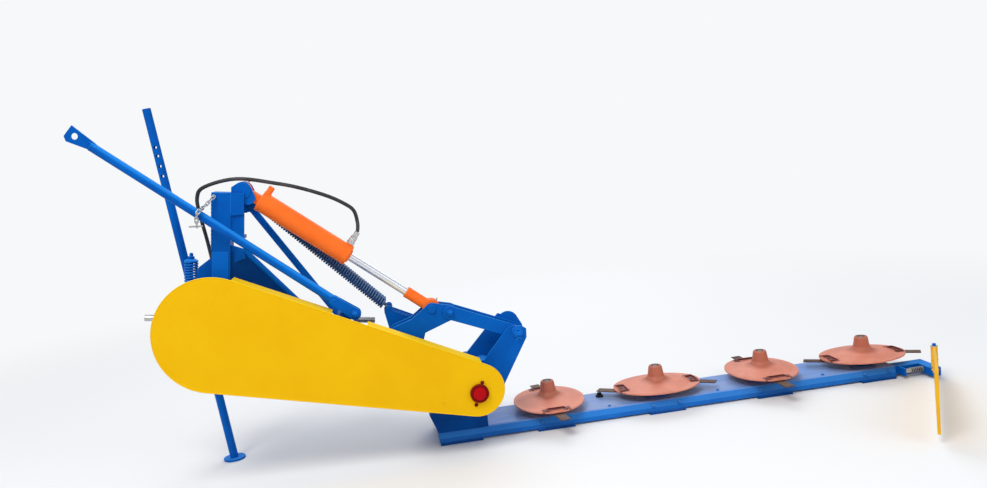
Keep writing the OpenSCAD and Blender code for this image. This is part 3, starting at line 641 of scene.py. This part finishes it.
# Hose: the route of the frame's hose, smoothed the same way
HOSE_ROUTE = [
    (-0.794, -0.163, 0.960), (-0.784, -0.163, 0.972), (-0.772, -0.164, 0.992),
    (-0.768, -0.165, 1.030), (-0.778, -0.168, 1.080), (-0.815, -0.168, 1.114),
    (-0.881, -0.168, 1.153), (-0.982, -0.168, 1.196), (-1.077, -0.168, 1.226),
    (-1.233, -0.168, 1.262), (-1.365, -0.165, 1.243), (-1.404, -0.145, 1.200),
    (-1.410, -0.100, 1.120), (-1.405, -0.060, 1.020), (-1.400, -0.040, 0.930),
]
HOSE_RADIUS = 0.008


def smoothed(route, steps):
    points = [Vector(p) for p in route]
    path = []
    for i in range(len(points) - 1):
        p0, p1 = points[max(i - 1, 0)], points[i]
        p2, p3 = points[i + 1], points[min(i + 2, len(points) - 1)]
        for k in range(steps):
            t = k / steps
            path.append(0.5 * (2 * p1 + (p2 - p0) * t + (2 * p0 - 5 * p1 + 4 * p2 - p3) * t ** 2
                               + (3 * p1 - p0 - 3 * p2 + p3) * t ** 3))
    return path + [points[-1]]


def hose():
    path = smoothed(HOSE_ROUTE, 6)
    tube = finish(bent_rod(path, HOSE_RADIUS, 16), "lift_hose", HOSE)
    length = sum((b - a).length for a, b in zip(path, path[1:]))
    heading = (path[-1] - path[-2]).normalized()
    end = turned([(0, 0.0105), (0.004, 0.0125), (0.012, 0.0125), (0.013, 0.0105),
                  (0.016, 0.0105), (0.017, 0.0125), (0.034, 0.0125), (0.035, 0.0095),
                  (0.04, 0.0095), (0.041, 0.0128), (0.056, 0.0128), (0.0585, 0.0112),
                  (0.06, 0.008)], 28)
    put(end, path[-1], heading)
    finish(end, "hose_coupler", ZINC, "hitch", ["coupler"], 25)
    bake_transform(tube)
    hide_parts("hose")
    nut = turned([(0, 0.0125), (0.002, 0.0145), (0.012, 0.0145), (0.014, 0.0125)], 6)
    sleeve = turned([(0.013, 0.0095), (0.0145, 0.0118), (0.019, 0.0118), (0.02, 0.0108),
                     (0.022, 0.0108), (0.023, 0.0118), (0.027, 0.0118), (0.028, 0.0108),
                     (0.03, 0.0108), (0.031, 0.0118), (0.036, 0.0118), (0.037, 0.0088)], 24)
    fitting = put(join([nut, sleeve]), HOSE_FITTING_AT, ABOVE_ROD)
    finish(fitting, "hose_fitting", ZINC, "barrel", smooth=28)


hose()


# Fasteners
def bolt_head():
    """A hexagon nut of radius 1 on its washer, with the bolt's end through it."""
    washer = turned([(0, 1.25), (0.16, 1.25), (0.22, 1.18)], 24)
    nut = turned([(0.2, 0.93), (0.28, 1.0), (0.9, 1.0), (1.0, 0.9)], 6)
    stud = turned([(0.9, 0.56), (1.25, 0.56), (1.36, 0.46)], 16)
    return join([washer, nut, stud])


def split_pin(at, along):
    """A split pin through a bolt's end, its legs bent apart."""
    at, side = Vector(at), Vector(along).cross(UP).normalized()
    rods = []
    for way in (-1, 1):
        leg = [(0.017, 0.0), (-0.016, 0.0), (-0.024, 0.008), (-0.027, 0.015)]
        rods.append(bent_rod([at + UP * up + side * way * out for up, out in leg], 0.0018, 8))
    rods.append(bent_rod(arc(at + UP * 0.02, 0.0042, -60, 240, 9, side), 0.0018, 8))
    return join(rods)


def fasteners():
    """The nuts on the pins of stay, lever and link, and the cover cap's bolts."""
    finish(sown(bolt_head(), [((STAY_PIN.x, STAY_REAR, STAY_PIN.z), BACK, 0.0125, 0.2),
                              ((STAY_PIN.x, STAY_FRONT, STAY_PIN.z), -BACK, 0.0125, 0.5)]),
           "stay_bolt_nuts", BLUE, "stay")
    # The lever's nut and split pin are in the lighter blue that paints light
    finish(sown(bolt_head(), [((LEVER_PIN.x, LEVER_NUT, LEVER_PIN.z), BACK, 0.0178, 0.3)]),
           "lever_pin_nut", LIT_BLUE, "bar")
    finish(split_pin((LEVER_PIN.x, LEVER_SPLIT_PIN, LEVER_PIN.z), BACK),
           "lever_split_pin", LIT_BLUE, "bar")
    finish(sown(bolt_head(), [((LINK_PIN.x, LINK_REAR, LINK_PIN.z), BACK, 0.012, 0.1)]),
           "link_pin_nut", BLUE, "crank")
    washer = turned([(0, 0.0185), (0.0008, 0.0198), (0.0025, 0.0198), (0.0032, 0.0185)], 32)
    put(washer, (LINK_PIN.x, LINK_FRONT, LINK_PIN.z), -BACK)
    finish(washer, "link_pin_washer", BLUE, "crank")
    finish(sown(bolt_head(), [((x, COVER_BACK, z), BACK, 0.0065, spin)
                              for (x, z), spin in zip(CAP_BOLTS, (0.2, 0.6))]),
           "cap_bolts", DARK_RED, "subframe")


fasteners()


# Belt cover: the red cap, and a rolled bead round the edge
def cover_cap():
    """The red cap: bright in the middle, darker on its rim."""
    cap = turned([(0, 0.0395), (0.012, 0.0395), (0.015, 0.0375), (0.0155, 0.032), (0.0115, 0.0305),
                  (0.0115, 0.0295), (0.0165, 0.0265), (0.0185, 0.02), (0.019, 0.012)], 48)
    put(cap, CAP_AT, BACK)
    finish(cap, "red_cap", RED, "subframe", ["cover_cap"], 30)
    cap.data.materials.append(DARK_RED)
    for face in cap.data.polygons:
        out = hypot(face.center.x - CAP_AT.x, face.center.z - CAP_AT.z)
        face.material_index = 1 if out > CAP_RIM else 0


def cover_bead():
    """The cover's outline: a big circle, its fold side resized and moved to the small end."""
    along = FOLD_AXIS - DRIVE_SHAFT
    reach, slope = along.length, along.normalized()
    lean = (COVER_BIG - COVER_SMALL) / reach
    ring = begin("circle", vertices=144, radius=COVER_BIG)
    heading = atan2(slope.z, slope.x)
    pick(ring, lambda v: cos(atan2(v.co.y, v.co.x) - heading) > lean, "VERT")
    share = COVER_SMALL / COVER_BIG
    bpy.ops.transform.resize(value=(share, share, share), center_override=(0, 0, 0))
    bpy.ops.transform.translate(value=(along.x, along.z, 0))
    leave(ring)
    bpy.ops.object.convert(target="CURVE")
    ring = bpy.context.object
    ring.data.bevel_depth, ring.data.bevel_resolution = 0.0026, 2
    bpy.ops.object.convert(target="MESH")
    ring = bpy.context.object
    big_end = Matrix.Translation((DRIVE_SHAFT.x, COVER_BACK + 0.0015, DRIVE_SHAFT.z))
    ring.matrix_world = big_end @ Matrix.Rotation(pi / 2, 4, "X")
    finish(ring, "cover_bead", YELLOW, "subframe", smooth=60)


cover_cap()
cover_bead()


# Springs
def hooked_spring(y, name):
    """A tension spring: the coil, its straight ends and the eyes round both pins."""
    head, foot = SPRING_HEAD + Vector((0, y, 0)), SPRING_FOOT + Vector((0, y, 0))
    way = foot - head
    reach = way.length
    body = coil(0.0195, 0.0046, 0.05, reach - 0.03, 52, 20, 8)
    rods = [body]
    for at, turn in ((0.0, 1), (reach, -1)):
        ring = arc((0, 0, at), 0.0142, 90 * turn + 25, 90 * turn + 335, 15)
        neck = 0.05 if turn == 1 else reach - 0.03
        rods.append(bent_rod(ring + [Vector((0, 0, at + 0.022 * turn)),
                                     Vector((0.006, 0, at + 0.9 * (neck - at))),
                                     Vector((0.0195, 0, neck))], 0.0044, 10))
    spring = put(join(rods), head, way)
    return finish(spring, name, SPRING)


def springs():
    first = hooked_spring(SPRING_YS[0], "balance_spring_1")
    second = hooked_spring(SPRING_YS[1], "balance_spring_2")
    for spring, y in ((first, SPRING_YS[0]), (second, SPRING_YS[1])):
        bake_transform(spring)
    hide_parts("balance_springs")


springs()


def relief_spring():
    """The relief spring on its rod, between two washers, with the nut on top."""
    rod = turned([(-0.06, 0.008), (0.284, 0.008), (0.288, 0.0065)], 20)
    wire = coil(0.026, 0.0042, 0.056, 0.252, 17, 28, 8)
    seat = turned([(0.05, 0.022), (0.052, 0.03), (0.056, 0.03), (0.058, 0.024)], 32)
    cup = turned([(0.249, 0.028), (0.253, 0.0305), (0.257, 0.027), (0.262, 0.018)], 32)
    nut = turned([(0.261, 0.013), (0.262, 0.0145), (0.272, 0.0145), (0.2735, 0.013)], 6)
    spring = join([rod, wire, seat, cup, nut])
    spring.matrix_world = HITCH_TURN @ Matrix.Translation(RELIEF_AT)
    finish(spring, "relief_coil", BLUE, "hitch", ["relief_spring"])


relief_spring()


def board_spring():
    """The divider board's spring on its dark rod, with a bright sleeve at its inner end."""
    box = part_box("board_spring")
    start, reach = box[0].x, box[1].x - box[0].x
    at, along = (start, BOARD_ROD_Y, BOARD_ROD_Z), (1, 0, 0)
    wire = coil(0.0116, 0.0019, 0.3 * reach, reach - 0.0055, 7, 24, 8)
    sleeve_end = 0.27 * reach
    sleeve = turned([(0.005, 0.0095), (0.006, 0.0105), (sleeve_end, 0.0105),
                     (sleeve_end + 0.001, 0.0128), (sleeve_end + 0.004, 0.0128),
                     (sleeve_end + 0.005, 0.0115)], 28)
    cup = turned([(reach - 0.005, 0.0125), (reach - 0.004, 0.0132), (reach - 0.001, 0.0132),
                  (reach, 0.0125)], 28)
    finish(put(join([wire, sleeve, cup]), at, along), "board_coil", ZINC, "bar", ["board_spring"])
    rod = turned([(0, 0.006), (0.001, 0.0084), (reach - 0.001, 0.0084), (reach, 0.006)], 24)
    finish(put(rod, at, along), "board_rod", BLACK_STEEL, "bar")


board_spring()


# Places in the leaning frames: along, across and up
def leaning(origin, lean, x, y, z):
    across, up = x * cos(lean) + z * sin(lean), z * cos(lean) - x * sin(lean)
    return Vector(origin) + Vector((across, y, up))


def hitch(x, y, z):
    return leaning(DRIVE_SHAFT, HITCH_LEAN, x, y, z)


def subframe(x, y, z):
    return leaning(DRIVE_SHAFT, BELT_SLOPE, x, y, z)


def stand(x, y, z):
    return leaning(STAND_FOOT, -STAND_LEAN, x, y, z)


def along_cylinder(distance, above=0.0):
    return MAST_PIN + ALONG_ROD * distance + ABOVE_ROD * above


# Lift cylinder: gland, weld rings, plug and the screwed adapter of the hose
def cylinder_details():
    gland = turned([(0.486, BARREL_RADIUS), (0.488, 0.0448), (0.503, 0.0448), (0.506, 0.042),
                    (0.5065, 0.030), (0.511, 0.0285), (0.5125, 0.024), (0.5125, 0.019)], 48)
    weld = turned([(0.0765, BARREL_RADIUS), (0.079, 0.0445), (0.083, 0.0448), (0.087, 0.0442),
                   (0.089, BARREL_RADIUS)], 48)
    finish(put(join([gland, weld]), MAST_PIN, ALONG_ROD), "barrel_rings", ORANGE, "barrel")
    plug = turned([(0, 0.0118), (0.0015, 0.0125), (0.007, 0.0125), (0.009, 0.0105)], 6)
    finish(put(plug, along_cylinder(SPARE_PORT, 0.0655), ABOVE_ROD), "port_plug", ORANGE, "barrel")
    seat = turned([(0.047, 0.0142), (0.0475, 0.0172), (0.056, 0.0172), (0.0575, 0.0155)], 6)
    stem = turned([(0.0565, 0.0145), (0.0575, 0.0152), (0.0685, 0.0152), (0.0703, 0.0142)], 28)
    adapter = put(join([seat, stem]), along_cylinder(HOSE_PORT), ABOVE_ROD)
    finish(adapter, "port_adapter", ZINC, "barrel", smooth=28)
    collar = turned([(0.793, 0.0215), (0.795, 0.0245), (0.801, 0.0245), (0.803, 0.022)], 40)
    finish(put(collar, MAST_PIN, ALONG_ROD), "rod_collar", ORANGE, "rod")


cylinder_details()


# Weld beads along the seams
def seam(points, radius=0.0026):
    return bent_rod([Vector(p) for p in points], radius, 8)


def ring(at, toward, radius, bead=0.0026):
    torus = begin("torus", major_radius=radius, minor_radius=bead,
                  major_segments=40, minor_segments=8)
    return put(torus, at, toward)


def stitches(a, b, radius=0.0036):
    """A coarse weld bead: a row of overlapping drops from a to b."""
    a, b = Vector(a), Vector(b)
    count = int((b - a).length / (radius * 1.5))
    drop = begin("uv_sphere", segments=8, ring_count=6, radius=radius)
    return sown(drop, [(a.lerp(b, i / count), UP, 1.0 + 0.15 * sin(2.3 * i), 0.4 * i)
                       for i in range(count + 1)])


def welds():
    beads = [
        seam([hitch(MAST_LEFT, MAST_REAR, 0.066), hitch(MAST_LEFT, MAST_FRONT, 0.066)]),
        seam([hitch(MAST_RIGHT, MAST_REAR, 0.048), hitch(MAST_RIGHT, MAST_FRONT, 0.048)]),
        seam([hitch(MAST_RIGHT, -0.2035, 0.391), hitch(MAST_RIGHT, -0.2035, 0.474)]),
        stitches(hitch(-0.0225, -0.2125, 0.33), hitch(-0.0225, -0.2125, 0.555)),
        stitches(hitch(0.0525, -0.2125, 0.486), hitch(0.0525, -0.2125, 0.555), 0.0028),
        seam([hitch(MAST_RIGHT, -0.202, 0.3765), hitch(MAST_RIGHT, -0.128, 0.3765)]),
        seam([hitch(-0.037, BEAM_REAR, -0.0595), hitch(-0.037, BEAM_FRONT, -0.0595)]),
        seam([hitch(0.037, BEAM_REAR, -0.0595), hitch(0.037, BEAM_FRONT, -0.0595)]),
        seam(arc((DRIVE_SHAFT.x, -0.0085, DRIVE_SHAFT.z), 0.0705, -129, -67, 14)),
        seam([hitch(MAST_LEFT, -0.158, 0.30), hitch(MAST_LEFT, -0.158, 0.09)], 0.002),
    ]
    for (top, foot), radius, bead in ((UPPER_BRACE, 0.0148, 0.0026), (LOWER_BRACE, 0.0128, 0.0022)):
        beads.append(ring(hitch(*top), hitch(*foot) - hitch(*top), radius, bead))
    for end in BEAM_ENDS:
        beads.append(seam([hitch(end, -0.008, -0.059), hitch(end, 0.072, -0.059)]))
    finish(join(beads), "hitch_welds", BLUE, "hitch", smooth=60)
    feet = [subframe(x, 0, 0) for x in COVER_STAYS_AT]
    beads = [ring((foot.x, -0.1045, foot.z), BACK, 0.0145) for foot in feet]
    beads.append(ring(CRANK_POST_AT, BACK, 0.0225))
    for x in (0.0725, BELT_RUN - 0.054):
        for z in (-0.0505, 0.0505):
            beads.append(seam([subframe(x, -0.103, z), subframe(x, -0.021, z)]))
    # The subframe's welds are in the darker blue that paints shade
    finish(join(beads), "subframe_welds", SHADED_BLUE, "subframe", smooth=60)
    way = (STAY_EYE - STAY_PIN).normalized()
    plate_foot = STAY_PIN + way * ((STAY_EYE - STAY_PIN).length - STAY_PLATE_LENGTH)
    beads = [ring(STAY_PIN + way * 0.105, way, 0.018), ring(plate_foot, way, 0.0165)]
    for side in (-1, 1):
        foot = plate_foot + Vector((0, -0.0055, 0.0145 * side))
        beads.append(stitches(foot, foot + way * -0.028))
    finish(join(beads), "tube_welds", BLUE, "stay", smooth=60)
    beads = [ring((FOLD_AXIS.x, LEVER_FACE, FOLD_AXIS.z), BACK, 0.0555),
             ring((LEVER_PIN.x, LEVER_FACE, LEVER_PIN.z), BACK, 0.024, 0.002)]
    finish(join(beads), "lever_welds", BLUE, "bar", smooth=60)
    beads = [ring(along_cylinder(SPARE_PORT, BARREL_RADIUS), ABOVE_ROD, 0.0138),
             ring(along_cylinder(HOSE_PORT, BARREL_RADIUS), ABOVE_ROD, 0.0148)]
    finish(join(beads), "port_welds", ORANGE, "barrel", smooth=60)


welds()


# Plates on the mast and its lower brace
def block(at, sizes):
    """A cube at its size and place, to be shaped further."""
    piece = begin("cube", size=1.0)
    piece.scale, piece.location = sizes, at
    bpy.ops.object.transform_apply(location=True, scale=True)
    return piece


def plate(corners, thick):
    """A flat plate in x and z: a cube with its edges moved to four corners and its rims broken."""
    piece = block((0, 0, 0), (1.0, thick, 1.0))
    for (x, z), (side, top) in zip(corners, ((-0.5, -0.5), (0.5, -0.5), (0.5, 0.5), (-0.5, 0.5))):
        pick(piece, lambda v: hypot(v.co.x - side, v.co.z - top) < 0.001, "VERT")
        bpy.ops.transform.translate(value=(x - side, 0, z - top))
    bpy.ops.mesh.select_all(action="SELECT")
    bpy.ops.mesh.bevel(offset=0.0008, segments=1)
    leave(piece)
    return piece


def brace_plates():
    """The web between mast and lower brace, in the brace's plane, in the darker blue that paints
    shade, and a gusset above it.
    """
    web = plate([(-0.001, 0.08), (0.305, 0.08), (0.0451, 0.325), (-0.001, 0.325)], 0.006)
    web.matrix_world = HITCH_TURN @ Matrix.Translation(WEB_AT) @ Matrix.Rotation(WEB_TURN, 4, "Z")
    # Painted shade: the web is in the darker copy of the blue
    finish(web, "brace_web", SHADED_BLUE, "hitch")
    gusset = plate([(0.051, 0.272), (0.108, 0.296), (0.103, 0.335), (0.051, 0.350)], 0.008)
    gusset.matrix_world = HITCH_TURN @ Matrix.Translation((0, -0.185, 0))
    finish(gusset, "brace_gusset", BLUE, "hitch")


brace_plates()


def mast_foot():
    """The flat doubling plate on the lower half of the mast's rear face."""
    doubling = block((0.0125, -0.2148, 0.209), (0.066, 0.004, 0.232))
    pick(doubling, lambda f: f.normal.y < -0.5)
    bpy.ops.transform.resize(value=(0.94, 1.0, 0.985), center_override=(0.0125, -0.2168, 0.209))
    leave(doubling)
    doubling.matrix_world = HITCH_TURN
    leave(doubling)
    # The plate is in the lighter blue that paints light
    finish(doubling, "mast_foot_plate", LIT_BLUE, "hitch")


mast_foot()


# Grease nipples and the small bolts of bearings, soles, board and rotors
def grease_nipple():
    return turned([(0, 0.0042), (0.004, 0.0042), (0.0045, 0.003), (0.009, 0.003), (0.0098, 0.0036),
                   (0.012, 0.0022)], 12)


def nipples():
    upward = subframe(0, 0, 1) - DRIVE_SHAFT
    for name, body, rows in (
        ("subframe_nipples", "subframe", [(subframe(0.0, -0.062, 0.0878), upward),
                                          (subframe(BELT_RUN, -0.062, 0.0728), upward)]),
        ("rod_nipple", "rod", [(EYE_PIN + ABOVE_ROD * 0.0378, ABOVE_ROD)]),
        ("barrel_nipple", "barrel", [(MAST_PIN + ABOVE_ROD * 0.0338, ABOVE_ROD)]),
    ):
        finish(sown(grease_nipple(), rows), name, ZINC, body)


def bearing_bolts():
    rows = []
    for i in range(6):
        angle = radians(60 * i)
        spot = DRIVE_SHAFT + HUB_BOLT_CIRCLE * Vector((cos(angle), 0.0, sin(angle)))
        rows.append((spot + Vector((0, HUB_FACE, 0)), -BACK, 0.0072, 0.3))
    finish(sown(bolt_head(), rows), "hub_bolts", ZINC, "hitch")
    collar = turned([(0, 0.0345), (0.001, 0.0355), (0.009, 0.0355), (0.01, 0.0345)], 40)
    put(collar, (DRIVE_SHAFT.x, COLLAR_FACE, DRIVE_SHAFT.z), -BACK)
    finish(collar, "shaft_collar", DARK_STEEL, "drive")


def rotor_details():
    """The heads of the knives' bolts. Each rotor stands a quarter turn from the next."""
    for i in range(ROTORS):
        centre, across = i * ROTOR_PITCH, i % 2 == 0
        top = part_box(f"knives_{i + 1}")[1].z - 0.0003
        rows = []
        for out in (-KNIFE_AT, KNIFE_AT):
            x, y = (centre, out) if across else (centre + out, 0.0)
            rows.append(((x, y, top), UP, 0.0062, 0.4))
        finish(sown(bolt_head(), rows), f"knife_bolts_{i + 1}", KNIFE, f"rotor_{i + 1}")


def bar_bolts():
    """Two bolts on the rear slope over each sole, and two on the bar's top between rotors."""
    rows = []
    for i in range(ROTORS):
        for side in (-0.062, 0.062):
            spot = (i * ROTOR_PITCH + side, -0.124, 0.0335)
            rows.append((spot, Vector((0, -1, 0.4)), 0.0075, 0.3 * i))
    for i in range(ROTORS - 1):
        middle = (i + 0.5) * ROTOR_PITCH
        rows.append(((middle, -0.098, BAR_TOP), UP, 0.0065, 0.5 * i))
        rows.append(((middle - 0.09, 0.106, BAR_TOP), UP, 0.0065, 0.7 * i))
    finish(sown(bolt_head(), rows), "bar_bolts", BAR_BLUE, "bar")


def stand_pin():
    """The pin that holds the stand's tube, with its ring, and the rims of the stand's socket."""
    way = stand(0, 0, 1) - stand(0, 0, 0)
    rod = turned([(-0.042, 0.004), (-0.04, 0.0055), (0.036, 0.0055), (0.0362, 0.009),
                  (0.041, 0.009), (0.042, 0.008)], 18)
    put(rod, stand(0, 0, STAND_PIN_AT), BACK)
    loop = ring(stand(0, 0.037, STAND_PIN_RING_AT), Vector((1, 0, 0)), 0.016, 0.0016)
    finish(join([rod, loop]), "stand_pin", ZINC, "hitch")
    collars = [ring(stand(0, 0, z), way, 0.0278, 0.002) for z in SOCKET_ENDS]
    finish(join(collars), "socket_rims", BLUE, "hitch", smooth=60)


def shaft_splines():
    teeth = []
    for i in range(6):
        tooth = block((0, 0.0174, 0.139), (0.0062, 0.0012, 0.076))
        teeth.append(put(tooth, (DRIVE_SHAFT.x, 0.0, DRIVE_SHAFT.z), -BACK, spin=radians(60 * i)))
    finish(join(teeth), "shaft_splines", DARK_STEEL, "drive")


def board_fittings():
    """The straps that carry the divider board, with their bolts, and the washer on its hinge."""
    turn = Matrix.Translation(BOARD_HINGE) @ Matrix.Rotation(BOARD_TURN, 4, "Z")
    straps, rows = [], []
    for z in STRAP_HEIGHTS:
        for side in (-1, 1):
            strap = block((STRAP_MIDDLE, 0.008 * side, z), (0.15, 0.004, 0.022))
            pick(strap, lambda v: v.co.x > STRAP_MIDDLE, "VERT")
            bpy.ops.transform.resize(value=(1.0, 1.0, 0.7), center_override=(STRAP_END, 0.0, z))
            leave(strap)
            strap.matrix_world = turn
            leave(strap)
            bpy.ops.object.transform_apply(location=True, rotation=True)
            straps.append(strap)
            way = turn.to_3x3() @ Vector((0, side, 0))
            for x in STRAP_BOLTS:
                rows.append((turn @ Vector((x, 0.0098 * side, z)), way, 0.0042, 0.3 * x))
    finish(join(straps), "board_straps", BOARD, "board")
    finish(sown(bolt_head(), rows), "board_bolts", BOARD, "board")
    washer = turned([(0, 0.0155), (0.0008, 0.0165), (0.0025, 0.0165), (0.003, 0.0155)], 28)
    finish(put(washer, BOARD_HINGE + UP * 0.1507), "hinge_washer", ZINC, "board")


def gear_housing_caps():
    """Bearing caps on the front of the gear housing, with their bolts."""
    caps, rows = [], []
    for x, y, z, r in HOUSING_CAPS:
        cap = turned([(0, r), (0.006, r), (0.0075, r * 0.97), (0.0078, r * 0.5),
                      (0.012, r * 0.46), (0.0125, r * 0.4)], 48)
        caps.append(put(cap, (x, y, z), -BACK))
        circle = r * 0.8
        for i in range(6):
            angle = radians(60 * i + 20)
            spot = (x + circle * cos(angle), y + 0.0072, z + circle * sin(angle))
            rows.append((spot, -BACK, 0.0048, 0.2 * i))
    # The caps are in the darker blue that paints shade
    finish(join(caps), "housing_caps", SHADED_BLUE, "bar", smooth=30)
    finish(sown(bolt_head(), rows), "housing_bolts", ZINC, "bar")


nipples()
bearing_bolts()
rotor_details()
bar_bolts()
stand_pin()
shaft_splines()
board_fittings()
gear_housing_caps()

bpy.context.scene.view_settings.view_transform = "Standard"
